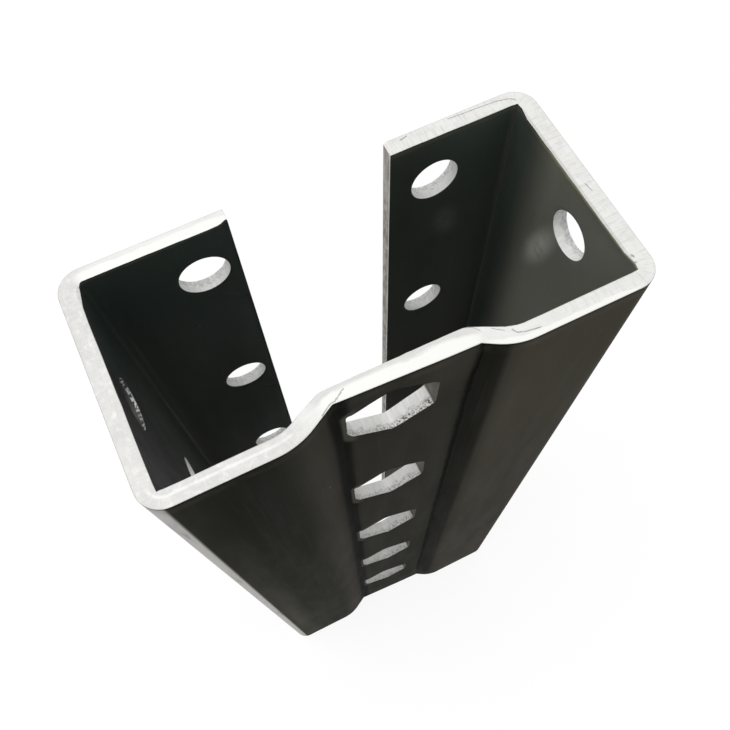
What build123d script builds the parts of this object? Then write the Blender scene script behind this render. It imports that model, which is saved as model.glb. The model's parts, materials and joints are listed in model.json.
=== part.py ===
from build123d import *
import os

# Cold-formed steel channel with a recessed web, in-turned lips and punched rows of openings.
# Sizes are in millimetres. X runs across the web, Y from the web's outer face at -Y to the lips at
# +Y, and Z along the channel. The origin is the middle of the section's outline at the lower cut end.

# Outline of the folded section, measured over its outer faces.
web_width = 100
flange_depth = 50
sheet_thickness = 3.5
left_lip_width = 34
right_lip_width = 32
corner_inner_radius = 1.5

# Recess pressed into the web, measured on the web's outer face.
recess_depth = 4.5
recess_floor_width = 27
recess_mouth_width = 42
recess_floor_radius = 1
recess_mouth_radius = 14
recess_centre_x = -1.5

# Cut length and the rows of openings, counted down from the upper cut end.
channel_length = 255
row_pitch = 50
first_row_depth = 13.5
least_end_distance = 10

# Round holes. A hole line is where the column would be if the strip were folded on its centre.
round_hole_diameter = 11
lip_hole_line = 23.7
flange_hole_line = 24.3

# Hexagonal openings in the recess floor, points up and down.
hexagon_across_flats = 18.5
hexagon_corner_radius = 2
hexagon_drop = 2

# All columns were punched in the flat strip, this far off its centre towards the left lip's edge.
strip_offset = 2.5

corner_outer_radius = corner_inner_radius + sheet_thickness
half_width = web_width / 2
half_depth = flange_depth / 2
floor_y = recess_depth - half_depth

row_span = channel_length - first_row_depth - least_end_distance
row_count = int(row_span // row_pitch) + 1
rows_centre_z = channel_length - first_row_depth - row_pitch * (row_count - 1) / 2


def punch():
    """Cuts the last sketch, drawn on the sheet's outer face, through one thickness of sheet."""
    extrude(amount=-sheet_thickness, mode=Mode.SUBTRACT)


with BuildPart() as channel:
    # The sheet's outer face as one path, from the left lip's free edge round to the right lip's.
    with BuildSketch(Plane.XY) as section:
        with BuildLine() as outer_face:
            FilletPolyline(
                (left_lip_width - half_width, half_depth),
                (-half_width, half_depth),
                (-half_width, -half_depth),
                (recess_centre_x - recess_mouth_width / 2, -half_depth),
                (recess_centre_x - recess_floor_width / 2, floor_y),
                (recess_centre_x + recess_floor_width / 2, floor_y),
                (recess_centre_x + recess_mouth_width / 2, -half_depth),
                (half_width, -half_depth),
                (half_width, half_depth),
                (half_width - right_lip_width, half_depth),
                radius=[
                    corner_outer_radius,
                    corner_outer_radius,
                    recess_mouth_radius,
                    recess_floor_radius,
                    recess_floor_radius,
                    recess_mouth_radius,
                    corner_outer_radius,
                    corner_outer_radius,
                ],
            )
            offset(amount=sheet_thickness, side=Side.LEFT)
        make_face()
    extrude(amount=channel_length)

    # Hexagonal openings through the recess floor.
    with BuildSketch(Plane.XZ.offset(-floor_y)) as hexagons:
        with Locations((-strip_offset, rows_centre_z - hexagon_drop)):
            with GridLocations(hexagon_across_flats, row_pitch, 1, row_count):
                RegularPolygon(hexagon_across_flats / 2, 6, major_radius=False, rotation=30)
        fillet(hexagons.vertices(), hexagon_corner_radius)
    punch()

    # Round holes through both lips.
    with BuildSketch(Plane(origin=(0, half_depth, 0), x_dir=(-1, 0, 0), z_dir=(0, 1, 0))):
        with Locations((-strip_offset, rows_centre_z)):
            with GridLocations(web_width - 2 * lip_hole_line, row_pitch, 2, row_count):
                Circle(round_hole_diameter / 2)
    punch()

    # Round holes through each flange, which the offset moves apart in depth.
    for side in (-1, 1):
        outer_wall = Plane(origin=(side * half_width, 0, 0), x_dir=(0, side, 0), z_dir=(side, 0, 0))
        hole_y = flange_hole_line - half_depth - side * strip_offset
        with BuildSketch(outer_wall):
            with Locations((side * hole_y, rows_centre_z)):
                with GridLocations(round_hole_diameter, row_pitch, 1, row_count):
                    Circle(round_hole_diameter / 2)
        punch()

channel.part.label = "channel"
os.makedirs("parts", exist_ok=True)
export_step(channel.part, "parts/channel.step")
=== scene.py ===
"""A short length of lipped steel channel, standing on its sawn end on a pale floor.

The skin is built the way the channel was made: a flat strip is slit, punched, folded round its
section and sawn off. Each point of the strip has a place along the section's outer face, a height
up the channel and a depth into the sheet, and place() folds it into the frame.
"""

import json
import math

import bmesh
import bpy
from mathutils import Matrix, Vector, noise


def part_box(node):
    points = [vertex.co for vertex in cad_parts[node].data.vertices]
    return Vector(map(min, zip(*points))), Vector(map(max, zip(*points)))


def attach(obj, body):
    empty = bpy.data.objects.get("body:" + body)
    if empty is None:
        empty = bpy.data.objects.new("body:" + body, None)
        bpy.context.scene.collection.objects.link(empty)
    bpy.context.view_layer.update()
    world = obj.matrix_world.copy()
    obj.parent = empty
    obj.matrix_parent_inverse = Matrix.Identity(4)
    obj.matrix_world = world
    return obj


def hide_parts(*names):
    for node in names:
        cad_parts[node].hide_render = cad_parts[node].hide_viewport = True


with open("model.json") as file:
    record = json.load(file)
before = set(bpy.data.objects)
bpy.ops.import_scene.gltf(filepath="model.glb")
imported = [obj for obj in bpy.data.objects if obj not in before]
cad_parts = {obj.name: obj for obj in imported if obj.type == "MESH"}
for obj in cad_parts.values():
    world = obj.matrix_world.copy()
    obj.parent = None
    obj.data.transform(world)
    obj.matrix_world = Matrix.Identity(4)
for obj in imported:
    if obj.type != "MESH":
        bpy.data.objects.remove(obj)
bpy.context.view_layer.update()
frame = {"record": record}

MM = 0.001

# Outline of the section, taken from the frame.
box_low, box_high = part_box("channel")
WIDTH = box_high[0] - box_low[0]
DEPTH = box_high[1] - box_low[1]
LENGTH = box_high[2] - box_low[2]

# Sheet and folds.
SHEET = 3.5 * MM
LEFT_LIP = 34 * MM
RIGHT_LIP = 32 * MM
CORNER_RADIUS = 5 * MM
GROOVE_DEPTH = 4.5 * MM
GROOVE_FLOOR = 27 * MM
GROOVE_MOUTH = 42 * MM
GROOVE_CENTRE = -1.5 * MM
GROOVE_FLOOR_RADIUS = 1 * MM
GROOVE_MOUTH_RADIUS = 14 * MM

# Rows of openings, taken from the record's mounts.
mounts = {mount["name"]: mount for mount in frame["record"]["mounts"]}
lip_bolts = mounts["lip_bolts_upper"]
PITCH = lip_bolts["dims"]["spacing_y_mm"] * MM
HOLE_RADIUS = lip_bolts["dims"]["hole_r_mm"] * MM
LIP_HOLE_SPACING = lip_bolts["dims"]["spacing_x_mm"] * MM
LIP_HOLE_CENTRE = lip_bolts["pos_m"][0]
TOP_ROW = lip_bolts["pos_m"][2] + PITCH / 2
LEFT_FLANGE_HOLE = mounts["left_flange_bolts_upper"]["pos_m"][1]
RIGHT_FLANGE_HOLE = mounts["right_flange_bolts_upper"]["pos_m"][1]
HEXAGON_CENTRE = mounts["hexagon_openings"]["pos_m"][0]
HEXAGON_DROP = 2 * MM
HEXAGON_FLATS = 18.5 * MM
HEXAGON_CORNER = 2 * MM
ROWS = 5

# Mesh cells round the openings: how far each reaches up and down from its row, and its steps.
CELL_UP = 12.5 * MM
CELL_DOWN = 14.5 * MM
CELL_SIDE = 8.5 * MM
CELL_STEPS_UP = 18
CELL_RING_WEIGHTS = (0.62, 0.28)
ROUND_STEPS_ACROSS = 8
HEXAGON_STEPS_ACROSS = 18
HEXAGON_SIDE_POINTS = 9
HEXAGON_CORNER_POINTS = 3
FLAT_STEP = 3 * MM
FOLD_STEPS_PER_QUARTER = 10
FOLD_STEP = 1 * MM
THICKNESS_STEPS = 6

# Punched edges: the punch enters at the inner face and breaks out, ragged, at the outer one.
RIM_OFFSETS = (1.1 * MM, 0.6 * MM, 0.3 * MM, 0.0)
ENTRY_ROLL = 0.12 * MM
ROLL_REACH = 0.3 * MM
EXIT_BURR = 0.06 * MM
BREAK_DEPTH = 0.45
BREAK_TAPER = 0.14 * MM
BREAK_RAGGED = 0.14 * MM
BREAK_GRAIN = 0.9 * MM
BORE_SHARES = (0.08, 0.16, 0.25, 0.35, 0.45, 0.6, 0.8)

# The thin strip between a hexagon's left side and the groove's fold was bent in with the fold.
HEXAGON_SINK = 0.6 * MM
HEXAGON_SINK_REACH = 1.5 * MM

# The groove's floor, as rolled: its outer face leans out to the right, and both of its faces spring
# back at the sawn ends. The outer folds move along the slants with it.
FLOOR_LEAN = 1.2 * MM
OUTER_SPRING = 0.45 * MM
LEFT_FOLD_SLIP = 0.8 * MM
LEFT_SLIDE_REACH = 12 * MM
RIGHT_SLIDE_REACH = 4.6 * MM
LEFT_FOLD_ROOM = 2.7 * MM
RIGHT_FOLD_ROOM = 4.5 * MM
INNER_END = -0.4 * MM
INNER_SPRING = 0.75 * MM
SPRING_REACH = 14 * MM
INNER_WARP_REACH = 3.5 * MM

# Inside, the bends are creased sharper than their outside, the left lip's least.
CREASE_SHARPNESS = (0.15, 0.8, 0.8, 0.8)

# The left lip's inner face is drawn thin towards its bend, and swells into the flange past it: places
# from the bend's start along the strip, and how far the face moves inwards there.
LEFT_BEND_PLACES = (-29 * MM, -2 * MM, 0.0, 1.5 * MM, 2.4 * MM, 4.5 * MM, 7.0 * MM, 8.0 * MM,
                    11.5 * MM)
LEFT_BEND_SHIFTS = (-0.3 * MM, -0.5 * MM, -0.45 * MM, -0.2 * MM, 0.15 * MM, 0.55 * MM, 0.6 * MM,
                    0.55 * MM, 0.0)

# The saw left a burr inside the right flange.
FLANGE_BURR = 0.45 * MM
FLANGE_BURR_REACH = 1.2 * MM
FLANGE_BURR_ENDS = 1.5 * MM

# Slit edges of the strip: lines beside them, and how far the sheet's corner is rolled over.
SLIT_STEPS = (0.3 * MM, 0.7 * MM, 1.3 * MM, 2.2 * MM)
LEFT_SLIT_ROLL = 0.7 * MM
LEFT_SLIT_REACH = 1.2 * MM
RIGHT_SLIT_ROLL = 0.35 * MM
RIGHT_SLIT_REACH = 0.6 * MM

# Sawn ends: lines beside them, the corner's small bevel, and how far the inner edge wanders.
SAW_STEPS = (0.35 * MM, 1.0 * MM)
SAW_BEVEL = 0.1 * MM
SAW_BEVEL_ANGLE = 50
SAW_WANDER = 0.1 * MM
SAW_WANDER_SIZE = 1.6 * MM


def section_pieces():
    """The outer face as (length, start, heading, curvature), from the left lip's free edge round."""
    half_width, half_depth = WIDTH / 2, DEPTH / 2
    floor_y = GROOVE_DEPTH - half_depth
    corners = [
        (LEFT_LIP - half_width, half_depth, 0),
        (-half_width, half_depth, CORNER_RADIUS),
        (-half_width, -half_depth, CORNER_RADIUS),
        (GROOVE_CENTRE - GROOVE_MOUTH / 2, -half_depth, GROOVE_MOUTH_RADIUS),
        (GROOVE_CENTRE - GROOVE_FLOOR / 2, floor_y, GROOVE_FLOOR_RADIUS),
        (GROOVE_CENTRE + GROOVE_FLOOR / 2, floor_y, GROOVE_FLOOR_RADIUS),
        (GROOVE_CENTRE + GROOVE_MOUTH / 2, -half_depth, GROOVE_MOUTH_RADIUS),
        (half_width, -half_depth, CORNER_RADIUS),
        (half_width, half_depth, CORNER_RADIUS),
        (half_width - RIGHT_LIP, half_depth, 0),
    ]
    pieces = []
    start = Vector(corners[0][:2])
    for i in range(1, len(corners)):
        corner = Vector(corners[i][:2])
        run = corner - Vector(corners[i - 1][:2])
        heading = math.atan2(run.y, run.x)
        turn, tangent = 0.0, 0.0
        if i < len(corners) - 1:
            after = Vector(corners[i + 1][:2]) - corner
            turn = (math.atan2(after.y, after.x) - heading + math.pi) % (2 * math.pi) - math.pi
            tangent = corners[i][2] * math.tan(abs(turn) / 2)
        end = corner - run.normalized() * tangent
        pieces.append(((end - start).length, start, heading, 0.0))
        start = end
        if turn:
            radius = corners[i][2]
            curvature = math.copysign(1 / radius, turn)
            pieces.append((radius * abs(turn), start, heading, curvature))
            start = corner + after.normalized() * tangent
    return pieces


PIECES = section_pieces()
STARTS = [sum(piece[0] for piece in PIECES[:i]) for i in range(len(PIECES) + 1)]
STRIP_WIDTH = STARTS[-1]
(LEFT_LIP_FLAT, LEFT_LIP_FOLD, LEFT_FLANGE_FLAT, LEFT_WEB_FOLD, LEFT_WEB_FLAT, LEFT_MOUTH_FOLD,
 LEFT_SLANT, LEFT_FLOOR_FOLD, FLOOR_FLAT, RIGHT_FLOOR_FOLD, RIGHT_SLANT, RIGHT_MOUTH_FOLD,
 RIGHT_WEB_FLAT, RIGHT_WEB_FOLD, RIGHT_FLANGE_FLAT, RIGHT_LIP_FOLD, RIGHT_LIP_FLAT) = range(17)
CORNER_FOLDS = (LEFT_LIP_FOLD, LEFT_WEB_FOLD, RIGHT_WEB_FOLD, RIGHT_LIP_FOLD)


def along(piece, x, y):
    """Distance along the strip of a point that lies on a straight piece."""
    length, start, heading, _ = PIECES[piece]
    return STARTS[piece] + (x - start.x) * math.cos(heading) + (y - start.y) * math.sin(heading)


def place(s, z, depth):
    """Folds a point of the strip into the frame."""
    s = min(max(s, 0.0), STRIP_WIDTH)
    index = max(i for i in range(len(PIECES)) if STARTS[i] <= s + 1e-9)
    length, start, heading, curvature = PIECES[index]
    u = s - STARTS[index]
    if curvature:
        turned = heading + curvature * u
        x = start.x + (math.sin(turned) - math.sin(heading)) / curvature
        y = start.y - (math.cos(turned) - math.cos(heading)) / curvature
        heading = turned
    else:
        x = start.x + u * math.cos(heading)
        y = start.y + u * math.sin(heading)
    return Vector((x - depth * math.sin(heading), y + depth * math.cos(heading), z))


def steps(low, high, count):
    """Evenly spaced values after low, up to and with high."""
    return [low + (high - low) * (k + 1) / count for k in range(count)]


def fade(distance, reach):
    """From 1 at no distance down to 0 past the reach, as a smooth bell."""
    return math.exp(-((distance / reach) ** 2))


def circle_ring():
    """Points round a bolt hole's edge as (point, outward direction) in the strip's plane."""
    count = 2 * (ROUND_STEPS_ACROSS + CELL_STEPS_UP)
    turns = [2 * math.pi * k / count for k in range(count)]
    directions = [Vector((math.cos(a), math.sin(a))) for a in turns]
    return [(direction * HOLE_RADIUS, direction) for direction in directions]


def circle_distance(across, up):
    return math.hypot(across, up) - HOLE_RADIUS


def hexagon_ring():
    """The same for a hexagon with its points up and down, its corners rounded."""
    apothem = HEXAGON_FLATS / 2 - HEXAGON_CORNER
    half_side = apothem * math.tan(math.pi / 6)
    ring = []
    for k in range(6):
        facing = math.pi / 3 * k
        out = Vector((math.cos(facing), math.sin(facing)))
        side = Vector((-out.y, out.x))
        for n in range(1, HEXAGON_SIDE_POINTS + 1):
            share = 2 * n / (HEXAGON_SIDE_POINTS + 1) - 1
            ring.append((out * (apothem + HEXAGON_CORNER) + side * half_side * share, out))
        corner = out * apothem + side * half_side
        for n in range(HEXAGON_CORNER_POINTS):
            angle = facing + math.pi / 3 * n / (HEXAGON_CORNER_POINTS - 1)
            direction = Vector((math.cos(angle), math.sin(angle)))
            ring.append((corner + direction * HEXAGON_CORNER, direction))
    middle = HEXAGON_SIDE_POINTS // 2
    return ring[middle:] + ring[:middle]


def hexagon_distance(across, up):
    facings = [math.pi / 3 * k for k in range(6)]
    return max(across * math.cos(a) + up * math.sin(a) for a in facings) - HEXAGON_FLATS / 2


def round_column(piece, x, y):
    """A column of bolt holes: its place along the strip, its mesh cell and its outline."""
    centre = along(piece, x, y)
    low = max(centre - CELL_SIDE, STARTS[piece])
    high = min(centre + CELL_SIDE, STARTS[piece + 1])
    return {"piece": piece, "centre": centre, "drop": 0.0, "low": low, "high": high,
            "count": ROUND_STEPS_ACROSS, "ring": circle_ring(), "distance": circle_distance}


def hexagon_column():
    """The column of hexagons, whose cell is the whole width of the groove's floor."""
    centre = along(FLOOR_FLAT, HEXAGON_CENTRE, GROOVE_DEPTH - DEPTH / 2)
    return {"piece": FLOOR_FLAT, "centre": centre, "drop": HEXAGON_DROP,
            "low": STARTS[FLOOR_FLAT], "high": STARTS[FLOOR_FLAT + 1],
            "count": HEXAGON_STEPS_ACROSS, "ring": hexagon_ring(), "distance": hexagon_distance}


def columns():
    left_x = LIP_HOLE_CENTRE - LIP_HOLE_SPACING / 2
    right_x = LIP_HOLE_CENTRE + LIP_HOLE_SPACING / 2
    return [
        round_column(LEFT_LIP_FLAT, left_x, DEPTH / 2),
        round_column(LEFT_FLANGE_FLAT, -WIDTH / 2, LEFT_FLANGE_HOLE),
        hexagon_column(),
        round_column(RIGHT_FLANGE_FLAT, WIDTH / 2, RIGHT_FLANGE_HOLE),
        round_column(RIGHT_LIP_FLAT, right_x, DEPTH / 2),
    ]


def row_height(column, row):
    return TOP_ROW - PITCH * row - column["drop"]


def opening_distance(openings, s, z):
    """How far a point of the strip lies outside the nearest opening's edge."""
    nearest_edge = math.inf
    for column in openings:
        row = min(range(ROWS), key=lambda k: abs(row_height(column, k) - z))
        edge = column["distance"](s - column["centre"], z - row_height(column, row))
        nearest_edge = min(nearest_edge, edge)
    return nearest_edge


def strip_stations(openings):
    """Mesh lines along the strip, with each column's own lines in its cell."""
    stations = [0.0]
    for i, (length, _, _, curvature) in enumerate(PIECES):
        low, high = STARTS[i], STARTS[i + 1]
        if curvature:
            quarter = abs(curvature) * length / (math.pi / 2)
            count = max(4, round(quarter * FOLD_STEPS_PER_QUARTER), round(length / FOLD_STEP))
            stations += steps(low, high, count)
            continue
        spans = [(low, high, None)]
        for column in openings:
            if column["piece"] == i:
                cell_low, cell_high = column["low"], column["high"]
                spans = [(low, cell_low, None), (cell_low, cell_high, column["count"]),
                         (cell_high, high, None)]
        for a, b, count in spans:
            if b - a > 1e-7:
                stations += steps(a, b, count or max(1, round((b - a) / FLAT_STEP)))
    stations += SLIT_STEPS
    stations += [STRIP_WIDTH - step for step in SLIT_STEPS]
    return sorted(stations)


def height_stations():
    """Mesh lines up the channel, with the cells' own lines."""
    stations = [0.0]
    for row in range(ROWS - 1, -1, -1):
        z = TOP_ROW - PITCH * row
        low, high = z - CELL_DOWN, z + CELL_UP
        stations += steps(stations[-1], low, max(1, round((low - stations[-1]) / FLAT_STEP)))
        stations += steps(low, high, CELL_STEPS_UP)
    stations += SAW_STEPS
    stations += [LENGTH - SAW_STEPS[0], LENGTH]
    return sorted(stations)


def nearest(stations, value):
    return min(range(len(stations)), key=lambda i: abs(stations[i] - value))


def held(from_end):
    """How much of the floor's spring is held back, from 0 at a sawn end to 1 well inside."""
    return 1 - fade(from_end, SPRING_REACH)


def floor_warp(s, from_end):
    """How far the inside of the groove's floor lies off its true plane."""
    low, high = STARTS[FLOOR_FLAT], STARTS[FLOOR_FLAT + 1]
    weight = fade(max(low - s, s - high, 0.0), INNER_WARP_REACH)
    return weight * (INNER_END + INNER_SPRING * held(from_end))


def floor_slide(s, z):
    """How the groove's outer face lies off its plain place, as its folds slide along the slants."""
    low, high = STARTS[FLOOR_FLAT], STARTS[FLOOR_FLAT + 1]
    slope = GROOVE_DEPTH / (GROOVE_MOUTH - GROOVE_FLOOR) * 2
    left_y = OUTER_SPRING * held(min(z, LENGTH - z))
    right_y = left_y - FLOOR_LEAN
    left_x = LEFT_FOLD_SLIP + left_y / slope
    right_x = -right_y / slope
    if s < low:
        return Vector((left_x, left_y, 0.0)) * max(0.0, 1 - (low - s) / LEFT_SLIDE_REACH)
    if s > high:
        return Vector((right_x, right_y, 0.0)) * max(0.0, 1 - (s - high) / RIGHT_SLIDE_REACH)
    across = (s - low) / (high - low)
    x = left_x * max(0.0, 1 - (s - low) / LEFT_FOLD_ROOM)
    x += right_x * max(0.0, 1 - (high - s) / RIGHT_FOLD_ROOM)
    return Vector((x, left_y + (right_y - left_y) * across, 0.0))


def crease(s):
    """How far the inner face goes out into a corner, past a plain round bend."""
    for i, sharpness in zip(CORNER_FOLDS, CREASE_SHARPNESS):
        share = (s - STARTS[i]) / (STARTS[i + 1] - STARTS[i])
        if 0 < share < 1:
            turned = share * math.pi / 2
            reach = 1 / max(math.cos(turned), math.sin(turned)) - 1
            return sharpness * (CORNER_RADIUS - SHEET) * reach
    return 0.0


def left_bend_shift(s):
    """How far the inner face moves inwards beside and in the left lip's bend."""
    places = [STARTS[LEFT_LIP_FOLD] + place_from for place_from in LEFT_BEND_PLACES]
    for low, high, start, end in zip(places, places[1:], LEFT_BEND_SHIFTS, LEFT_BEND_SHIFTS[1:]):
        if low <= s <= high:
            return start + (end - start) * (s - low) / (high - low)
    return 0.0


def flange_burr(s, from_end):
    """How far the right flange's inner face is pushed in beside a sawn end."""
    low, high = STARTS[RIGHT_FLANGE_FLAT], STARTS[RIGHT_FLANGE_FLAT + 1]
    inside = min(s - low, high - s) / FLANGE_BURR_ENDS
    return FLANGE_BURR * min(max(inside, 0.0), 1.0) * fade(from_end, FLANGE_BURR_REACH)


def face_shift(s, z, inside):
    """How far a face of the sheet moves outwards (-) or inwards (+) of its plain place."""
    if not inside:
        return RIGHT_SLIT_ROLL * fade(STRIP_WIDTH - s, RIGHT_SLIT_REACH)
    from_end = min(z, LENGTH - z)
    shift = floor_warp(s, from_end) + left_bend_shift(s) + flange_burr(s, from_end)
    shift -= crease(s) + LEFT_SLIT_ROLL * fade(s, LEFT_SLIT_REACH)
    spot = Vector((s, z, 0)) / SAW_WANDER_SIZE
    return shift + SAW_WANDER * noise.noise(spot) * fade(from_end, SAW_STEPS[0] / 2)


OUTER_SCALE, INNER_SCALE, SAWN, PUNCHED, SLIT = range(5)


class Skin:
    """The channel's skin as one mesh, with each point's place in the strip kept as attributes."""

    def __init__(self):
        self.mesh = bmesh.new()
        layers = self.mesh.verts.layers.float
        self.strip_layer = layers.new("strip")
        self.depth_layer = layers.new("depth")
        self.rim_layer = layers.new("rim")
        self.openings = columns()
        self.across = strip_stations(self.openings)
        self.up = height_stations()
        self.cells = self.opening_cells()
        self.nodes = {}
        self.depths = {}
        self.edge_nodes = {}

    def point(self, s, z, depth, rim=0.0):
        """A new vertex, keeping its strip place and rim distance in mm and its depth from 0 to 1."""
        outwards = 1 - min(max(depth / SHEET, 0.0), 1.0)
        vert = self.mesh.verts.new(place(s, z, depth) + floor_slide(s, z) * outwards)
        vert[self.strip_layer] = s / MM
        vert[self.depth_layer] = depth / SHEET
        vert[self.rim_layer] = rim / MM
        return vert

    def face(self, verts, material):
        made = self.mesh.faces.new(verts)
        made.material_index = material
        made.smooth = True

    def bridge(self, lower, upper, material, flip):
        count = len(lower)
        for k in range(count):
            quad = [lower[k], lower[(k + 1) % count], upper[(k + 1) % count], upper[k]]
            self.face(quad[::-1] if flip else quad, material)

    def opening_cells(self):
        """Each opening's column and row, with the mesh lines that bound its cell."""
        cells = []
        for column in self.openings:
            i0, i1 = nearest(self.across, column["low"]), nearest(self.across, column["high"])
            for row in range(ROWS):
                z = TOP_ROW - PITCH * row
                j0, j1 = nearest(self.up, z - CELL_DOWN), nearest(self.up, z + CELL_UP)
                cells.append((column, row, i0, i1, j0, j1))
        return cells

    def build_faces(self):
        """The sheet's two faces, apart from the cells round the openings."""
        for i, s in enumerate(self.across):
            for j, z in enumerate(self.up):
                if any(i0 < i < i1 and j0 < j < j1 for _, _, i0, i1, j0, j1 in self.cells):
                    continue
                rim = opening_distance(self.openings, s, z)
                for side in (0, 1):
                    depth = side * SHEET + face_shift(s, z, side)
                    self.nodes[i, j, side] = self.point(s, z, depth, rim)
                    self.depths[i, j, side] = depth
        for i in range(len(self.across) - 1):
            for j in range(len(self.up) - 1):
                if any(i0 <= i < i1 and j0 <= j < j1 for _, _, i0, i1, j0, j1 in self.cells):
                    continue
                ring = [(i, j), (i, j + 1), (i + 1, j + 1), (i + 1, j)]
                self.face([self.nodes[a, b, 0] for a, b in ring], OUTER_SCALE)
                self.face([self.nodes[a, b, 1] for a, b in reversed(ring)], INNER_SCALE)

    def build_opening(self, column, row, i0, i1, j0, j1):
        """The two faces round one opening, and the wall the punch left through the sheet."""
        middle = (j0 + j1) // 2
        border = [(i1, j) for j in range(middle, j1)]
        border += [(i, j1) for i in range(i1, i0, -1)]
        border += [(i0, j) for j in range(j1, j0, -1)]
        border += [(i, j0) for i in range(i0, i1)]
        border += [(i1, j) for j in range(j0, middle)]
        centre, height = column["centre"], row_height(column, row)

        def at(point, direction, offset):
            return centre + point.x + direction.x * offset, height + point.y + direction.y * offset

        def face_depth(side, s, z, direction, offset):
            """A face's depth, with its rolled or burred edge and a hexagon's left side bent in."""
            depth = side * SHEET + face_shift(s, z, side)
            if side:
                return depth - ENTRY_ROLL * fade(offset, ROLL_REACH)
            leftward = max(0.0, -direction.x) if column["piece"] == FLOOR_FLAT else 0.0
            depth += HEXAGON_SINK * leftward ** 2 * fade(offset, HEXAGON_SINK_REACH)
            return depth - EXIT_BURR * fade(offset, ROLL_REACH / 2)

        def torn(point, share):
            """How far the break tears outwards from the punch's own outline."""
            broken = max(0.0, 1 - share / BREAK_DEPTH)
            spot = Vector((centre + point.x, height + point.y, share * SHEET)) / BREAK_GRAIN
            return BREAK_TAPER * broken + BREAK_RAGGED * noise.noise(spot) * math.sqrt(broken)

        rims = []
        for side in (0, 1):
            material = INNER_SCALE if side else OUTER_SCALE
            previous = [self.nodes[i, j, side] for i, j in border]
            for weight in CELL_RING_WEIGHTS:
                ring = []
                for (i, j), (point, direction) in zip(border, column["ring"]):
                    s, z = at(point, direction, RIM_OFFSETS[0])
                    s += (self.across[i] - s) * weight
                    z += (self.up[j] - z) * weight
                    rim = column["distance"](s - centre, z - height)
                    ring.append(self.point(s, z, face_depth(side, s, z, direction, rim), rim))
                self.bridge(ring, previous, material, side == 0)
                previous = ring
            for offset in RIM_OFFSETS:
                ring = []
                for point, direction in column["ring"]:
                    tear = 0.0 if side else torn(point, 0.0) * fade(offset, ROLL_REACH)
                    s, z = at(point, direction, offset + tear)
                    ring.append(self.point(s, z, face_depth(side, s, z, direction, offset), offset))
                self.bridge(ring, previous, material, side == 0)
                previous = ring
            rims.append(previous)
        previous = rims[0]
        for share in BORE_SHARES:
            ring = []
            for point, direction in column["ring"]:
                s, z = at(point, direction, torn(point, share))
                outer = face_depth(0, s, z, direction, 0.0)
                inner = face_depth(1, s, z, direction, 0.0)
                ring.append(self.point(s, z, outer + (inner - outer) * share))
            self.bridge(previous, ring, PUNCHED, True)
            previous = ring
        self.bridge(previous, rims[1], PUNCHED, True)

    def edge_node(self, i, j, k):
        """A point through the thickness of the sheet's edge, from the outer face to the inner one."""
        if k == 0:
            return self.nodes[i, j, 0]
        if k == THICKNESS_STEPS:
            return self.nodes[i, j, 1]
        if (i, j, k) not in self.edge_nodes:
            low, high = self.depths[i, j, 0], self.depths[i, j, 1]
            depth = low + (high - low) * k / THICKNESS_STEPS
            self.edge_nodes[i, j, k] = self.point(self.across[i], self.up[j], depth)
        return self.edge_nodes[i, j, k]

    def close_edge(self, path, material):
        for (a, b), (c, d) in zip(path, path[1:]):
            for k in range(THICKNESS_STEPS):
                quad = [(a, b, k), (a, b, k + 1), (c, d, k + 1), (c, d, k)]
                self.face([self.edge_node(*corner) for corner in quad], material)

    def finished(self, name):
        last_i, last_j = len(self.across) - 1, len(self.up) - 1
        self.build_faces()
        for cell in self.cells:
            self.build_opening(*cell)
        self.close_edge([(i, 0) for i in range(last_i + 1)], SAWN)
        self.close_edge([(i, last_j) for i in range(last_i, -1, -1)], SAWN)
        self.close_edge([(0, j) for j in range(last_j, -1, -1)], SLIT)
        self.close_edge([(last_i, j) for j in range(last_j + 1)], SLIT)
        bmesh.ops.recalc_face_normals(self.mesh, faces=self.mesh.faces)
        data = bpy.data.meshes.new(name)
        self.mesh.to_mesh(data)
        self.mesh.free()
        piece = bpy.data.objects.new(name, data)
        bpy.context.collection.objects.link(piece)
        bevel = piece.modifiers.new("edge_wear", "BEVEL")
        bevel.width = SAW_BEVEL
        bevel.segments = 2
        bevel.limit_method = "ANGLE"
        bevel.angle_limit = math.radians(SAW_BEVEL_ANGLE)
        bevel.harden_normals = True
        return piece


class Nodes:
    """The nodes of a material or a world. A value is a socket or a plain number or colour."""

    def __init__(self, owner):
        self.owner = owner
        owner.use_nodes = True
        self.tree = owner.node_tree
        self.tree.nodes.clear()

    def add(self, kind, inputs=None, **settings):
        node = self.tree.nodes.new(kind)
        for name, value in settings.items():
            setattr(node, name, value)
        for key, value in (inputs or {}).items():
            self.feed(node.inputs[key], value)
        return node

    def feed(self, socket, value):
        if isinstance(value, bpy.types.NodeSocket):
            self.tree.links.new(value, socket)
        elif isinstance(value, tuple) and socket.type == "RGBA":
            socket.default_value = (*value, 1.0)
        else:
            socket.default_value = value

    def math(self, operation, a, b=0.0):
        return self.add("ShaderNodeMath", {0: a, 1: b}, operation=operation).outputs[0]

    def times(self, *values):
        product = values[0]
        for value in values[1:]:
            product = self.math("MULTIPLY", product, value)
        return product

    def plus(self, *values):
        total = values[0]
        for value in values[1:]:
            total = self.math("ADD", total, value)
        return total

    def most(self, *values):
        largest = values[0]
        for value in values[1:]:
            largest = self.math("MAXIMUM", largest, value)
        return largest

    def ramp(self, value, low, high, start=0.0, end=1.0):
        """A smooth step from start, at low and below, to end, at high and above."""
        inputs = {0: value, 1: low, 2: high, 3: start, 4: end}
        return self.add("ShaderNodeMapRange", inputs, interpolation_type="SMOOTHSTEP").outputs[0]


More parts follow.
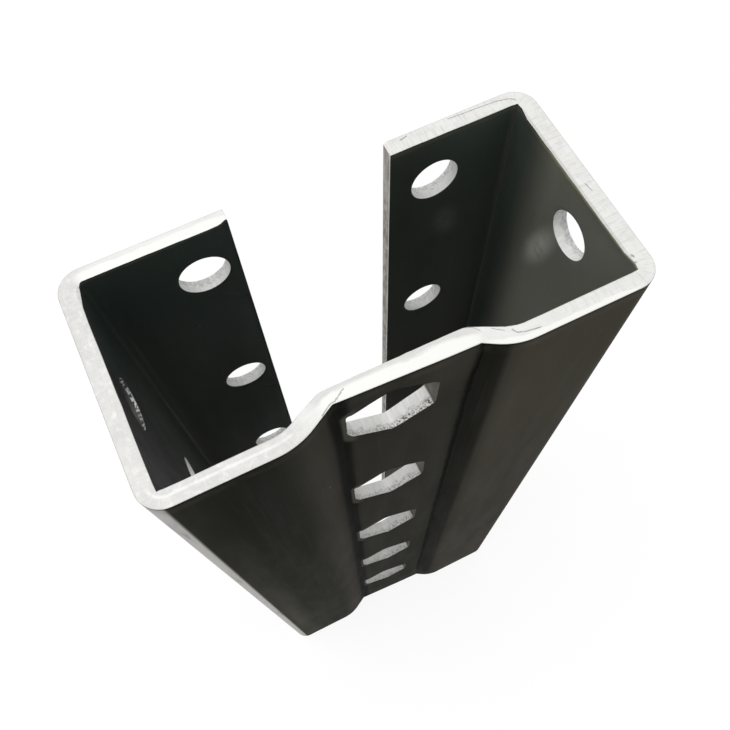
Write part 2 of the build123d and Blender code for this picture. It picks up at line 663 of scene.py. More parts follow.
class SkinNodes(Nodes):
    """A skin material's nodes, in millimetres, with each point's place in the strip."""

    def __init__(self, name):
        super().__init__(bpy.data.materials.new(name))
        self.seed = 0.0
        here = self.add("ShaderNodeTexCoord").outputs["Object"]
        height = self.add("ShaderNodeSeparateXYZ", {0: here}).outputs[2]
        self.z = self.math("MULTIPLY", height, 1 / MM)
        self.strip = self.attribute("strip")
        self.depth = self.attribute("depth")
        self.rim = self.attribute("rim")
        self.through = self.math("MULTIPLY", self.depth, SHEET / MM)
        axes = {0: self.strip, 1: self.z, 2: self.through}
        self.sheet = self.add("ShaderNodeCombineXYZ", axes).outputs[0]

    def attribute(self, name):
        return self.add("ShaderNodeAttribute", attribute_name=name).outputs["Fac"]

    def bell(self, value, centre, reach):
        """1 where the value is at the centre, falling to 0 at the reach on each side."""
        away = self.math("ABSOLUTE", self.math("SUBTRACT", value, centre))
        return self.ramp(away, 0.0, reach, 1.0, 0.0)

    def span(self, value, low, high, soft):
        """1 between low and high, with soft ends."""
        rise = self.ramp(value, low - soft / 2, low + soft / 2)
        return self.times(rise, self.ramp(value, high - soft / 2, high + soft / 2, 1.0, 0.0))

    def hill(self, rise, fall):
        """Along the strip, up over one ramp and down over another."""
        return self.times(self.ramp(self.strip, *rise), self.ramp(self.strip, *fall))

    def spread(self, size, stretch):
        """The sheet's place with each axis divided by a size, moved on for each call."""
        self.seed += 17.3
        scale = tuple(1 / (size * factor) for factor in stretch)
        offset = (self.seed, self.seed * 0.7, self.seed * 1.3)
        return self.add("ShaderNodeVectorMath", {0: self.sheet, 1: scale, 2: offset},
                        operation="MULTIPLY_ADD").outputs[0]

    def noise(self, size, detail=3.0, stretch=(1, 1, 1), low=0.35, high=0.65):
        inputs = {"Vector": self.spread(size, stretch), "Scale": 1.0, "Detail": detail, "Roughness": 0.6}
        return self.ramp(self.add("ShaderNodeTexNoise", inputs).outputs["Fac"], low, high)

    def specks(self, spacing, share, radius, stretch=(1, 1, 1)):
        """Small dots, in that share of cells of that spacing. The radius is a share of the spacing."""
        inputs = {"Vector": self.spread(spacing, stretch), "Scale": 1.0}
        cells = self.add("ShaderNodeTexVoronoi", inputs)
        pick = self.add("ShaderNodeSeparateColor", {0: cells.outputs["Color"]}).outputs[0]
        chosen = self.math("LESS_THAN", pick, share)
        return self.times(chosen, self.ramp(cells.outputs["Distance"], radius * 0.5, radius, 1.0, 0.0))

    def stroke(self, start, end, width, waver=0.0):
        """A line between two places (strip, height) or, on a sawn end, (strip, depth in mm)."""
        across, up = self.strip, self.z if abs(start[1]) > SHEET / MM else self.through
        if waver:
            across = self.plus(across, self.times(self.noise(1.2, 2, low=0.2, high=0.8), waver))
        run = (end[0] - start[0], end[1] - start[1])
        length = math.hypot(*run)
        unit = (run[0] / length, run[1] / length)
        dx = self.math("SUBTRACT", across, start[0])
        dy = self.math("SUBTRACT", up, start[1])
        forward = self.plus(self.times(dx, unit[0]), self.times(dy, unit[1]))
        sideways = self.math("ABSOLUTE", self.plus(self.times(dx, -unit[1]), self.times(dy, unit[0])))
        inside = self.span(forward, 0.0, length, width)
        return self.times(inside, self.ramp(sideways, width * 0.3, width, 1.0, 0.0))

    def glow(self, start, end, width):
        """A soft oval spot from one place (strip, height) to another."""
        middle = ((start[0] + end[0]) / 2, (start[1] + end[1]) / 2)
        half = ((end[0] - start[0]) / 2, (end[1] - start[1]) / 2)
        length = math.hypot(*half)
        unit = (half[0] / length, half[1] / length)
        dx = self.math("SUBTRACT", self.strip, middle[0])
        dy = self.math("SUBTRACT", self.z, middle[1])
        forward = self.plus(self.times(dx, unit[0] / length), self.times(dy, unit[1] / length))
        sideways = self.plus(self.times(dx, -unit[1] / width), self.times(dy, unit[0] / width))
        away = self.math("SQRT", self.plus(self.times(forward, forward), self.times(sideways, sideways)))
        return self.ramp(away, 0.0, 1.0, 1.0, 0.0)

    def mix(self, factor, a, b):
        node = self.add("ShaderNodeMix", data_type="RGBA")
        self.feed(node.inputs["Factor"], factor)
        colours = [socket for socket in node.inputs if socket.type == "RGBA"]
        self.feed(colours[0], a)
        self.feed(colours[1], b)
        return next(socket for socket in node.outputs if socket.type == "RGBA")

    def bump(self, layers):
        """Relief from (height, depth in mm) pairs."""
        normal = None
        for height, depth in layers:
            inputs = {"Height": height, "Distance": depth * MM, "Strength": 1.0}
            if normal:
                inputs["Normal"] = normal
            normal = self.add("ShaderNodeBump", inputs).outputs[0]
        return normal

    def finish(self, colour, roughness, normal, metallic=0.0, specular=0.5):
        shader = self.add("ShaderNodeBsdfPrincipled", {
            "Base Color": colour, "Roughness": roughness, "Metallic": metallic,
            "Normal": normal, "Specular IOR Level": specular})
        self.add("ShaderNodeOutputMaterial", {0: shader.outputs[0]})
        return self.owner


# Places along the strip and up the channel, in millimetres, that the materials refer to.
PIECE_STARTS = [start / MM for start in STARTS]
LEFT_FOLD = PIECE_STARTS[LEFT_FLOOR_FOLD]
RIGHT_FOLD = PIECE_STARTS[RIGHT_FLOOR_FOLD]
RIGHT_CREST = PIECE_STARTS[RIGHT_MOUTH_FOLD] + 6
BEND_CRESTS = [(PIECE_STARTS[i] + PIECE_STARTS[i + 1]) / 2 for i in CORNER_FOLDS]
BEND_REACH = CORNER_RADIUS * math.pi / 4 / MM
HEXAGON_LEFT = (along(FLOOR_FLAT, HEXAGON_CENTRE, GROOVE_DEPTH - DEPTH / 2) - HEXAGON_FLATS / 2) / MM
HEXAGON_RIGHT = HEXAGON_LEFT + HEXAGON_FLATS / MM
TOP = LENGTH / MM

# Colours of oiled mill scale, outside and inside, of what marks it, and of light and shade painted on
# it.
OUTER_BLACK = (0.0025, 0.0026, 0.0018)
OUTER_DARK = (0.0215, 0.0212, 0.0168)
OUTER_GREEN = (0.027, 0.028, 0.022)
OUTER_BROWN = (0.068, 0.061, 0.047)
OUTER_OLIVE = (0.072, 0.07, 0.054)
INNER_TEAL = (0.013, 0.021, 0.0195)
INNER_DARK = (0.0125, 0.0145, 0.011)
INNER_GREEN = (0.022, 0.026, 0.0195)
INNER_DEEP = (0.06, 0.076, 0.066)
INNER_LIT_LOW = (0.19, 0.2, 0.17)
INNER_LIT = (0.178, 0.18, 0.147)
SCALE_HAZE_AND_SHEEN = (0.12, 0.117, 0.092)
SCALE_OLIVE = (0.4, 0.41, 0.27)
SCALE_PIT = (0.003, 0.003, 0.002)
SCALE_DUST_AND_SHEEN = (0.4, 0.4, 0.36)

# Colours of bare steel: sawn, burnished, torn and stained, and the olive grey of its painted shade.
STEEL_BURNISHED = (0.94, 0.94, 0.915)
STEEL_WHITE = (0.87, 0.87, 0.85)
STEEL_PALE = (0.76, 0.755, 0.735)
STEEL_DULL = (0.63, 0.62, 0.61)
STEEL_GREY = (0.58, 0.57, 0.55)
STEEL_TORN = (0.4, 0.39, 0.36)
STEEL_DARK = (0.05, 0.047, 0.042)
STEEL_OLIVE = (0.13, 0.124, 0.1)
STEEL_TAN = (0.2, 0.17, 0.12)
STEEL_RUST = (0.07, 0.058, 0.042)


def scale_surface(n, colour, haze_and_sheen):
    """Faint marks that every scaled face has, and its sheen and relief."""
    streaks = n.noise(0.8, 2, (1, 40, 1), 0.5, 0.8)
    colour = n.mix(n.times(streaks, 0.06), colour, SCALE_HAZE_AND_SHEEN)
    dust = n.specks(4.5, 0.09, 0.055)
    colour = n.mix(n.times(dust, 0.5), colour, SCALE_DUST_AND_SHEEN)
    pits = n.specks(1.6, 0.3, 0.1)
    colour = n.mix(n.times(pits, 0.6), colour, SCALE_PIT)
    grain = n.noise(0.35, 2, low=0.3, high=0.7)
    patches = n.noise(6, 4, (1, 5, 1), 0.3, 0.7)
    roughness = n.plus(0.5, n.times(patches, 0.1), n.times(grain, 0.06), n.times(haze_and_sheen, 0.06))
    return colour, roughness, n.bump([(patches, 0.004), (grain, 0.003)])


# Zones that the materials paint, in millimetres along the strip, or up the channel where a name ends in
# _Z. Two numbers are a ramp's ends or a bell's centre and reach, four add the ramp's values there,
# three are a span's ends and its softness, and a hill has two ramps.
WEB_UPPER_Z = (80, 250)
LEFT_WEB = (84, 104, 5)
BY_LEFT_BEND = (86, 7)
BY_LEFT_BEND_Z = (90, 225, 1.0, 0.15)
RIGHT_WEB = ((RIGHT_CREST - 7, RIGHT_CREST + 1), (181, 188, 1.0, 0.0))
# Painted highlight on the left slant, below the rounded mouth fold.
LEFT_SHOULDER_HIGHLIGHT = (PIECE_STARTS[LEFT_SLANT] - 0.7, 6.5)
GROOVE_FLOOR_PALE = (LEFT_FOLD + 3, RIGHT_FOLD, 3)
GROOVE_FLOOR_PALE_Z = (60, 170)
FLOOR_CORNER = (HEXAGON_LEFT + 8, RIGHT_FOLD - 4)
FLOOR_CORNER_Z = (232, 250)
# Painted shade along the groove's floor folds: a band at the left one, a line and a fainter band at the
# right one.
LEFT_FOLD_SHADE = (LEFT_FOLD - 1.5, LEFT_FOLD + 3.8, 1.8)
RIGHT_FOLD_SHADE = (RIGHT_FOLD + 0.2, RIGHT_FOLD + 8, 1.6)
RIGHT_FOLD_SHADE_LINE = RIGHT_FOLD + 1.2
RIGHT_FOLD_SHADE_LINE_REACH = 1.9
# The rubbed bends: roll wear, and a painted reflection of the pale surround on the bend beside the left
# flange.
RUBBED_BEND_AND_SHEEN = (BEND_CRESTS[1] - BEND_REACH, BEND_CRESTS[1] + 2.4, 0.9)
RUBBED_SHEEN_REACH = 5
RUBBED_SHEEN_STRONG = 0.92
RUBBED_SHEEN_FAINT = 0.05
# Painted sheen along the foot.
FOOT_SHEEN_Z = (2, 20, 1.0, 0.0)
BY_HEXAGON = ((LEFT_FOLD, LEFT_FOLD + 0.6), (HEXAGON_LEFT, HEXAGON_LEFT + 2.6, 1.0, 0.0))
BY_HEXAGON_RIM = (1.2, 3.0, 1.0, 0.0)
SAWN_LINE = (0.3, 1.0, 1.0, 0.0)


def outer_scale():
    n = SkinNodes("outer_mill_scale")
    clouds = n.noise(26, 3, (1, 5, 1), 0.25, 0.75)
    cast = n.noise(14, 3, (1, 5, 1), 0.25, 0.75)
    colour = n.mix(n.times(clouds, 0.8), OUTER_DARK, OUTER_GREEN)

    # The left web is dark above, and paler below and towards the bend. The right web is brown.
    above = n.ramp(n.z, *WEB_UPPER_Z)
    left_web = n.span(n.strip, *LEFT_WEB)
    colour = n.mix(n.times(left_web, above, 0.5), colour, OUTER_BLACK)
    by_bend = n.times(n.bell(n.strip, *BY_LEFT_BEND), n.ramp(n.z, *BY_LEFT_BEND_Z))
    colour = n.mix(n.times(by_bend, n.plus(0.6, n.times(cast, 0.25))), colour, OUTER_OLIVE)
    right_web = n.hill(*RIGHT_WEB)
    browned = n.plus(0.52, n.times(cast, 0.15), n.times(above, 0.33))
    colour = n.mix(n.times(right_web, browned), colour, OUTER_BROWN)

    # Painted highlight: the left slant is paler up to its fold. The groove's floor is paler towards its
    # upper right corner.
    colour = n.mix(n.times(n.bell(n.strip, *LEFT_SHOULDER_HIGHLIGHT), 0.5), colour, OUTER_BROWN)
    floor = n.times(n.span(n.strip, *GROOVE_FLOOR_PALE), n.ramp(n.z, *GROOVE_FLOOR_PALE_Z))
    corner = n.times(n.ramp(n.strip, *FLOOR_CORNER), n.ramp(n.z, *FLOOR_CORNER_Z))
    colour = n.mix(n.times(floor, n.plus(0.17, n.times(corner, 0.35))), colour, OUTER_BROWN)

    # Painted shade darkens the left fold, and a thin line and a fainter band along the right one.
    line_place = n.plus(RIGHT_FOLD_SHADE_LINE, n.times(n.noise(6, 2), 0.6))
    line = n.bell(n.strip, line_place, RIGHT_FOLD_SHADE_LINE_REACH)
    left_fold_shade = n.times(n.span(n.strip, *LEFT_FOLD_SHADE), 0.95)
    right_fold_shade = n.times(n.span(n.strip, *RIGHT_FOLD_SHADE), n.plus(0.5, n.times(cast, 0.2)))
    colour = n.mix(n.most(left_fold_shade, line, right_fold_shade), colour, OUTER_BLACK)

    # The forming rolls rub the bend beside the left flange bright, and the other bends faintly.
    # This grey is also a painted reflection: the pale surround mirrored in that bend at a grazing view.
    rubbed_and_sheen = n.times(n.span(n.strip, *RUBBED_BEND_AND_SHEEN), RUBBED_SHEEN_STRONG)
    for crest in (BEND_CRESTS[0], *BEND_CRESTS[2:]):
        rubbed_and_sheen = n.most(n.times(n.bell(n.strip, crest, RUBBED_SHEEN_REACH), RUBBED_SHEEN_FAINT), rubbed_and_sheen)
    wear_and_sheen = n.times(rubbed_and_sheen, n.noise(3, 4, (1, 8, 1), 0.0, 0.5))
    colour = n.mix(wear_and_sheen, colour, STEEL_GREY)

    # Dull haze beside the sawn ends, past a dark line, and on the left of each hexagon.
    from_top = n.math("SUBTRACT", TOP, n.z)
    hazy = n.times(n.span(from_top, 0.8, 3.2, 2.4), n.noise(7, 3, low=0.25, high=0.75))
    # Along the foot the same pale colour is a painted sheen.
    foot_sheen = n.times(n.ramp(n.z, *FOOT_SHEEN_Z), n.noise(9, 3))
    by_hexagon = n.hill(*BY_HEXAGON)
    bent_in = n.times(by_hexagon, n.ramp(n.rim, *BY_HEXAGON_RIM))
    haze_and_sheen = n.most(n.times(hazy, 0.25), n.times(foot_sheen, 0.2), n.times(bent_in, 0.6))
    colour = n.mix(haze_and_sheen, colour, SCALE_HAZE_AND_SHEEN)
    edge_line = n.most(n.ramp(from_top, *SAWN_LINE), n.ramp(n.z, *SAWN_LINE))
    colour = n.mix(n.times(edge_line, 0.6), colour, OUTER_BLACK)
    colour, roughness, normal = scale_surface(n, colour, haze_and_sheen)
    return n.finish(colour, roughness, normal, n.times(wear_and_sheen, 0.4), 0.006)


TEAL_SIDE = (PIECE_STARTS[LEFT_WEB_FOLD], PIECE_STARTS[LEFT_WEB_FLAT], 1.0, 0.0)
# Painted shade on the left flange inside.
SHADED_FLANGE = (52, 82, 8)
LEFT_LIP_DEEP = (38, 58, 1.0, 0.0)
LEFT_LIP_DEEP_Z = (215, 245, 0.9, 0.4)
RIGHT_LIP_DEEP = ((212, 226), (236, 256, 0.95, 0.5))
# Painted light low down on both lips inside.
RIGHT_LIP_LOW = ((222, 236), (240, 252, 1.0, 0.7))
LOW_Z = (160, 245, 1.0, 0.0)
LEFT_LIP_LOW = (8, 24, 0.15, 0.65)
# Painted light on the right flange inside.
LIT_FLANGE = (PIECE_STARTS[RIGHT_WEB_FOLD], PIECE_STARTS[RIGHT_LIP_FOLD] - 9, 13)
LIT_FLANGE_LOW_Z = (205, 235, 0.2, 0.0)
# Painted highlight lines along the inner bends.
RIGHT_BEND_HIGHLIGHT = (BEND_CRESTS[3] + 1, 2.6)
LEFT_BEND_HIGHLIGHT = (27.6, 0.7)
LEFT_BEND_HIGHLIGHT_Z = (222, 236, 1.0, 0.0)
PALE_BAND_RISE = (190, 218)
PALE_BAND_WIDE = (0.5, 5.5, 0.22, 0.0)
INNER_SAWN_LINE = (0.1, 0.6, 1.0, 0.0)
# A painted reflection on the right flange, and a faint pale patch on the right lip.
FLANGE_REFLECTION = ((212.5, 216), (204, 241), 4.5)
LIP_PATCH = ((247, 233), (242, 216), 5)


def inner_scale():
    n = SkinNodes("inner_mill_scale")
    clouds = n.noise(20, 4, (1, 2.4, 1), 0.3, 0.7)
    cast = n.noise(14, 4, (1, 1.6, 1), 0.3, 0.7)
    left_side = n.ramp(n.strip, *TEAL_SIDE)
    colour = n.mix(clouds, INNER_DARK, INNER_GREEN)
    colour = n.mix(n.times(left_side, n.plus(0.6, n.times(cast, 0.4))), colour, INNER_TEAL)

    # Painted shade: the left flange is black. Both lips, and their bends, are greener, and paler
    # as painted light that reaches in, most of all low down.
    colour = n.mix(n.times(n.span(n.strip, *SHADED_FLANGE), 0.92), colour, OUTER_BLACK)
    left_lip = n.times(n.ramp(n.strip, *LEFT_LIP_DEEP), n.ramp(n.z, *LEFT_LIP_DEEP_Z))
    right_lip = n.hill(*RIGHT_LIP_DEEP)
    deep = n.times(n.most(left_lip, right_lip), n.plus(0.8, n.times(cast, 0.2)))
    colour = n.mix(deep, colour, INNER_DEEP)
    left_low = n.times(left_lip, n.ramp(n.strip, *LEFT_LIP_LOW))
    right_low = n.hill(*RIGHT_LIP_LOW)
    lit_low_down = n.times(n.ramp(n.z, *LOW_Z), n.most(left_low, right_low))
    colour = n.mix(n.times(lit_low_down, 0.85), colour, INNER_LIT_LOW)

    # Painted light: the right flange is paler all over but for its far edge.
    right_flange = n.span(n.strip, *LIT_FLANGE)
    lit_level = n.plus(0.7, n.times(clouds, 0.1), n.ramp(n.z, *LIT_FLANGE_LOW_Z))
    colour = n.mix(n.times(right_flange, lit_level), colour, INNER_LIT)

    # Painted highlights: thin light lines along the creased inner bends, where their curve catches
    # light.
    left_bend_highlight = n.times(n.bell(n.strip, *LEFT_BEND_HIGHLIGHT), n.ramp(n.z, *LEFT_BEND_HIGHLIGHT_Z))
    bend_highlights = n.most(n.bell(n.strip, *RIGHT_BEND_HIGHLIGHT), left_bend_highlight)
    colour = n.mix(n.times(bend_highlights, n.noise(9, 3, (1, 4, 1), 0.1, 0.5), 0.6), colour, SCALE_HAZE_AND_SHEEN)

    # Below the sawn end: a pale olive band, strongest on the right flange, and a dark line elsewhere.
    from_top = n.math("SUBTRACT", TOP, n.z)
    far = n.ramp(n.strip, *PALE_BAND_RISE)
    reach = n.plus(0.7, n.times(far, 1.1), n.times(n.noise(5, 3), 0.5))
    core = n.ramp(n.math("DIVIDE", from_top, reach), 0.3, 1.0, 1.0, 0.0)
    wide = n.times(n.ramp(from_top, *PALE_BAND_WIDE), far)
    pale_band = n.times(n.most(core, wide), n.plus(0.12, n.times(right_flange, 0.8)))
    colour = n.mix(pale_band, colour, SCALE_OLIVE)
    lined = n.math("SUBTRACT", 0.5, n.times(right_flange, 0.5))
    colour = n.mix(n.times(n.ramp(from_top, *INNER_SAWN_LINE), lined), colour, OUTER_BLACK)

    # A painted reflection on the right flange, and a faint pale patch on the right lip.
    reflection_and_patch = n.most(n.glow(*FLANGE_REFLECTION), n.times(n.glow(*LIP_PATCH), 0.2))
    haze_and_sheen = n.times(reflection_and_patch, n.noise(3, 3, low=0.0, high=0.6))
    colour = n.mix(haze_and_sheen, colour, SCALE_DUST_AND_SHEEN)
    colour, roughness, normal = scale_surface(n, colour, haze_and_sheen)
    return n.finish(colour, roughness, normal, 0.0, 0.2)


DULL_END = (PIECE_STARTS[LEFT_LIP_FOLD] - 1, PIECE_STARTS[LEFT_SLANT] - 1, 5)
HATCHED_END = (PIECE_STARTS[RIGHT_MOUTH_FOLD], PIECE_STARTS[RIGHT_WEB_FOLD])
BURNISHED_LIP = (PIECE_STARTS[LEFT_LIP_FOLD] - 1, PIECE_STARTS[LEFT_LIP_FOLD] + 4, 1.0, 0.0)
BURNISHED_FLOOR = (PIECE_STARTS[FLOOR_FLAT] - 2, RIGHT_FOLD + 1, 3)
BURNISHED_WEB = (PIECE_STARTS[RIGHT_SLANT] + 2, PIECE_STARTS[RIGHT_WEB_FOLD], 4)
SAW_LINE = (78, 108, 3)
SAW_LINE_THROUGH = (2.1, 0.5)

# Laps and cracks in the cut face: from one place (strip, depth) to another, and how wide.
LAPS = (((151.2, 2.8), (152.5, 2.0), 0.2), ((152.5, 2.0), (157.2, 1.4), 0.15),
        ((229.6, 2.2), (235, 1.1), 0.16), ((235, 1.1), (246, 0.6), 0.1),
        ((113.6, 0.2), (117.1, 0.4), 0.16), ((117.1, 0.4), (120.0, 1.9), 0.16),
        ((142.6, 3.2), (145.0, 2.4), 0.09), ((147.0, 3.1), (149.5, 2.7), 0.08),
        ((255, 0.6), (256.4, 1.0), 0.2), ((186.3, 2.8), (186.7, 3.2), 0.4),
        ((201.8, 1.7), (204, 2.1), 0.12), ((184.8, 3.1), (185.2, 3.4), 0.25))


def sawn_steel():
    n = SkinNodes("sawn_steel")
    streaks = n.noise(0.9, 4, (3.2, 1, 0.5), 0.3, 0.7)
    grain = n.noise(0.4, 3, (1.3, 1, 1), 0.25, 0.75)
    blotches = n.noise(2.4, 4, (1.5, 1, 0.7), 0.35, 0.65)
    across = n.noise(0.7, 3, (0.6, 1, 4), 0.45, 0.75)
    pale = n.plus(n.times(streaks, 0.35), n.times(grain, 0.3), n.times(blotches, 0.35))
    colour = n.mix(pale, STEEL_PALE, STEEL_WHITE)

    # The left flange and web are duller, with pale blotches and strokes. The right flange is hatched.
    dull = n.span(n.strip, *DULL_END)
    spots = n.noise(1.3, 4, (1.2, 1, 0.9), 0.5, 0.72)
    colour = n.mix(dull, colour, n.mix(pale, STEEL_DULL, STEEL_PALE))
    colour = n.mix(n.times(dull, spots, 0.75), colour, STEEL_WHITE)
    colour = n.mix(n.times(dull, across, 0.3), colour, STEEL_WHITE)
    hatched = n.times(n.ramp(n.strip, *HATCHED_END), 0.45)
    hatch = n.noise(0.55, 3, (0.7, 1, 5), 0.45, 0.7)
    colour = n.mix(n.times(hatched, hatch), colour, STEEL_GREY)

    # The saw burnished some stretches white: the left lip's inner part and the web's outer one.
    edge = n.plus(n.through, n.times(n.noise(5, 3, (2, 1, 1)), 0.7))
    lip = n.times(n.ramp(n.strip, *BURNISHED_LIP), n.ramp(edge, 1.3, 1.9))
    middle = n.span(n.strip, *BURNISHED_FLOOR)
    outer_part = n.times(middle, n.ramp(edge, 2.0, 2.4, 1.0, 0.0))
    right_web = n.span(n.strip, *BURNISHED_WEB)
    outer_strip = n.times(right_web, n.ramp(edge, 1.1, 1.5, 1.0, 0.0))
    colour = n.mix(n.times(n.most(lip, outer_part, outer_strip), 0.9), colour, STEEL_BURNISHED)
    inner_part = n.times(middle, n.ramp(edge, 2.3, 2.7), n.plus(0.25, n.times(streaks, 0.35)))
    colour = n.mix(inner_part, colour, STEEL_GREY)

    # A bright line half-way through the left web, and a grey rim all round.
    patchy = n.noise(2.5, 3, low=0.2, high=0.5)
    line = n.times(n.bell(n.through, *SAW_LINE_THROUGH), n.span(n.strip, *SAW_LINE), patchy)
    colour = n.mix(n.times(line, 0.7), colour, STEEL_BURNISHED)
    rim = n.most(n.ramp(n.through, 0.04, 0.26, 1.0, 0.0), n.ramp(n.through, 3.26, 3.44))
    colour = n.mix(n.times(rim, 0.4), colour, STEEL_TORN)

    cracks = 0.0
    for start, end, width in LAPS:
        cracks = n.most(n.stroke(start, end, width * 0.8, 0.8), cracks)
    colour = n.mix(n.times(cracks, n.plus(0.3, n.times(grain, 0.4))), colour, STEEL_DARK)
    roughness = n.plus(0.42, n.times(grain, 0.16), n.times(streaks, 0.1))
    normal = n.bump([(streaks, 0.012), (grain, 0.008), (cracks, -0.08)])
    return n.finish(colour, roughness, normal, 0.1, 0.4)


HEXAGON_ZONE = (HEXAGON_LEFT - 2, HEXAGON_RIGHT + 2, 1)
CHIPS_RISE = (HEXAGON_LEFT + 6, HEXAGON_LEFT + 12, 0.3, 1.0)
CHIPS_Z = (205, 225, 0.45, 1.0)
# Painted shade on the hexagons' right walls.
RIGHT_WALL_SHADE = (HEXAGON_RIGHT - 0.45, HEXAGON_RIGHT - 0.15)
SHADED_HOLE = ((36, 38), (75, 78, 1.0, 0.0))
SHADED_HOLE_Z = (222, 226)
SLIVER_LIGHT = (53, 57, 0.85, 0.3)


def punched_steel():
    n = SkinNodes("punched_steel")
    edge = n.plus(n.depth, n.times(n.noise(2.2, 3), 0.24))
    burnished = n.ramp(edge, BREAK_DEPTH + 0.04, BREAK_DEPTH + 0.16)
    scored = n.noise(0.5, 3, (1, 1, 6), 0.3, 0.7)
    torn = n.noise(0.7, 4, low=0.3, high=0.7)
    bright = n.mix(scored, STEEL_WHITE, STEEL_PALE)
    dull = n.mix(torn, STEEL_WHITE, STEEL_DULL)
    colour = n.mix(burnished, dull, bright)

    # Dark chips along the break, thick in the hexagons and thin in the round holes.
    hexagon = n.span(n.strip, *HEXAGON_ZONE)
    chips = n.times(n.noise(0.45, 4, low=0.49, high=0.57), n.ramp(edge, 0.25, 0.6, 1.0, 0.0))
    thick = n.times(hexagon, n.ramp(n.strip, *CHIPS_RISE), n.ramp(n.z, *CHIPS_Z), 0.75)
    colour = n.mix(n.times(chips, n.plus(0.2, thick)), colour, STEEL_DARK)
    # Painted shade: the hexagons' right walls are olive grey.
    colour = n.mix(n.times(hexagon, n.ramp(n.strip, *RIGHT_WALL_SHADE)), colour, STEEL_OLIVE)

    # The left flange's upper hole is dark but for ragged bright slivers at its inner edge.
    hole = n.hill(*SHADED_HOLE)
    ragged = n.times(n.noise(0.6, 5, (1, 2.5, 1), 0.46, 0.55), n.ramp(n.depth, 0.72, 0.84))
    lit = n.plus(n.ramp(n.strip, *SLIVER_LIGHT), n.times(n.noise(2.2, 2, low=0.45, high=0.6), 0.35))
    sliver = n.times(n.most(ragged, n.ramp(n.depth, 0.94, 0.98, 0.0, 0.7)), lit)
    shaded = n.times(hole, n.ramp(n.z, *SHADED_HOLE_Z), n.math("SUBTRACT", 1.0, sliver))
    colour = n.mix(n.times(shaded, 0.95), colour, OUTER_BLACK)
    roughness = n.plus(0.62, n.times(burnished, -0.2))
    relief = n.times(n.math("SUBTRACT", 1.0, burnished), torn)
    normal = n.bump([(relief, 0.12), (n.times(burnished, scored), 0.015)])
    return n.finish(colour, roughness, normal, 0.0, 0.4)


def slit_steel():
    n = SkinNodes("slit_steel")
    torn = n.noise(1.2, 4, (1, 3, 1), 0.3, 0.7)
    colour = n.mix(torn, STEEL_TORN, STEEL_TAN)
    rolled = n.ramp(n.depth, 0.1, 0.34, 1.0, 0.0)
    colour = n.mix(n.times(rolled, 0.6), colour, STEEL_TORN)
    stains = n.times(n.noise(3, 4, (1, 4, 0.5), 0.5, 0.7), n.bell(n.depth, 0.55, 0.35))
    colour = n.mix(n.times(stains, 0.7), colour, STEEL_RUST)
    lip = n.ramp(n.depth, 0.84, 0.94)
    colour = n.mix(n.times(lip, 0.8), colour, STEEL_PALE)
    normal = n.bump([(torn, 0.05)])
    return n.finish(colour, n.plus(0.42, n.times(torn, 0.2)), normal, 0.3, 0.4)


skin = Skin().finished("channel_skin")
for make_material in (outer_scale, inner_scale, sawn_steel, punched_steel, slit_steel):
    skin.data.materials.append(make_material())
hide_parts("channel")
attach(skin, "root")

# Camera, where the photograph was taken from.
CAMERA_AT = (-27.68 * MM, -65.81 * MM, 372.49 * MM)
CAMERA_TURN = (21.218, 1.462, -25.958)
CAMERA_LENS = 36.831
CAMERA_SENSOR = 36
CAMERA_SHIFT = (0.0066, 0.0616)
CAMERA_CLIP = 5 * MM
camera_data = bpy.data.cameras.new("camera")
camera_data.lens = CAMERA_LENS
camera_data.sensor_width = CAMERA_SENSOR
camera_data.shift_x, camera_data.shift_y = CAMERA_SHIFT
camera_data.clip_start = CAMERA_CLIP
camera = bpy.data.objects.new("camera", camera_data)
camera.location = CAMERA_AT
camera.rotation_euler = [math.radians(a) for a in CAMERA_TURN]
bpy.context.collection.objects.link(camera)
bpy.context.scene.camera = camera

# Pale studio: a white floor that keeps a soft shadow, a white surround, and plain soft light.
FLOOR_REACH = 6.0
FLOOR_COLOUR = 0.8
FLOOR_MOTTLE = 0.01
FLOOR_MOTTLE_SCALE = 40.0
FLOOR_WHITE_SHARE = 0.8
FLOOR_WHITE = 1.09
SURROUND_LIGHT = (0.35, 0.8)
LAMP_AT = (-0.45, 0.15, 1.4)
LAMP_TARGET = (0, 0, LENGTH / 2)
LAMP_SIZE = 0.7
LAMP_POWER = 6.5


def seen_directly(n):
    """1 for rays from the camera and those that mirror or pass on its view."""
    rays = n.add("ShaderNodeLightPath").outputs
    return n.most(rays["Is Camera Ray"], rays["Is Glossy Ray"], rays["Is Transmission Ray"])


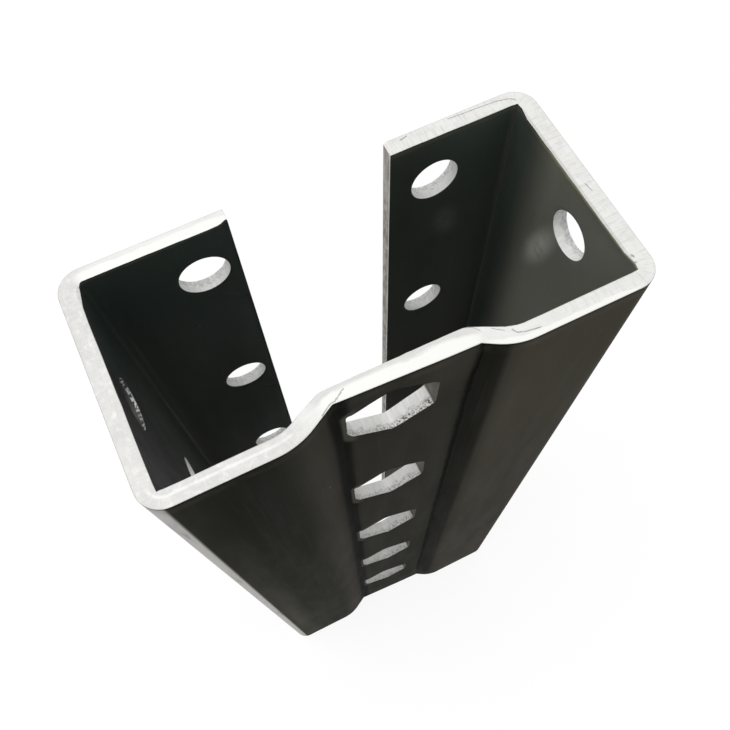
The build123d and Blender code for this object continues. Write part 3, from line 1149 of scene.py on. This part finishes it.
def floor_material():
    n = Nodes(bpy.data.materials.new("studio_floor"))
    mottle = n.add("ShaderNodeTexNoise", {"Scale": FLOOR_MOTTLE_SCALE, "Detail": 2.0}).outputs["Fac"]
    level = n.ramp(mottle, 0.3, 0.7, FLOOR_COLOUR - FLOOR_MOTTLE, FLOOR_COLOUR + FLOOR_MOTTLE)
    grey = n.add("ShaderNodeCombineColor", {0: level, 1: level, 2: level}).outputs[0]
    lit = n.add("ShaderNodeBsdfDiffuse", {"Color": grey})
    white = n.add("ShaderNodeEmission", {"Strength": FLOOR_WHITE})
    share = n.times(seen_directly(n), FLOOR_WHITE_SHARE)
    both = n.add("ShaderNodeMixShader", {0: share, 1: lit.outputs[0], 2: white.outputs[0]})
    n.add("ShaderNodeOutputMaterial", {0: both.outputs[0]})
    return n.owner


def make_floor():
    mesh = bpy.data.meshes.new("studio_floor")
    corners = [(-1, -1), (1, -1), (1, 1), (-1, 1)]
    mesh.from_pydata([(x * FLOOR_REACH, y * FLOOR_REACH, 0.0) for x, y in corners], [], [(0, 1, 2, 3)])
    mesh.materials.append(floor_material())
    floor = bpy.data.objects.new("studio_floor", mesh)
    bpy.context.collection.objects.link(floor)


def make_surround():
    """White where it is seen, and brighter above than below where it lights the channel."""
    n = Nodes(bpy.data.worlds.new("studio"))
    bpy.context.scene.world = n.owner
    direction = n.add("ShaderNodeTexCoord").outputs["Generated"]
    upward = n.add("ShaderNodeSeparateXYZ", {0: direction}).outputs[2]
    level = n.ramp(upward, 0.0, 1.0, *SURROUND_LIGHT)
    strength = n.add("ShaderNodeMix", {0: seen_directly(n), 2: level, 3: 1.0}).outputs[0]
    background = n.add("ShaderNodeBackground", {"Color": (1.0, 1.0, 1.0), "Strength": strength})
    n.add("ShaderNodeOutputWorld", {0: background.outputs[0]})


def make_lamp():
    data = bpy.data.lights.new("overhead_left", "AREA")
    data.size = LAMP_SIZE
    data.energy = LAMP_POWER
    lamp = bpy.data.objects.new("overhead_left", data)
    lamp.location = LAMP_AT
    aim = Vector(LAMP_TARGET) - Vector(LAMP_AT)
    lamp.rotation_euler = aim.to_track_quat("-Z", "Y").to_euler()
    bpy.context.collection.objects.link(lamp)


make_floor()
make_surround()
make_lamp()

bpy.context.scene.view_settings.view_transform = "Standard"
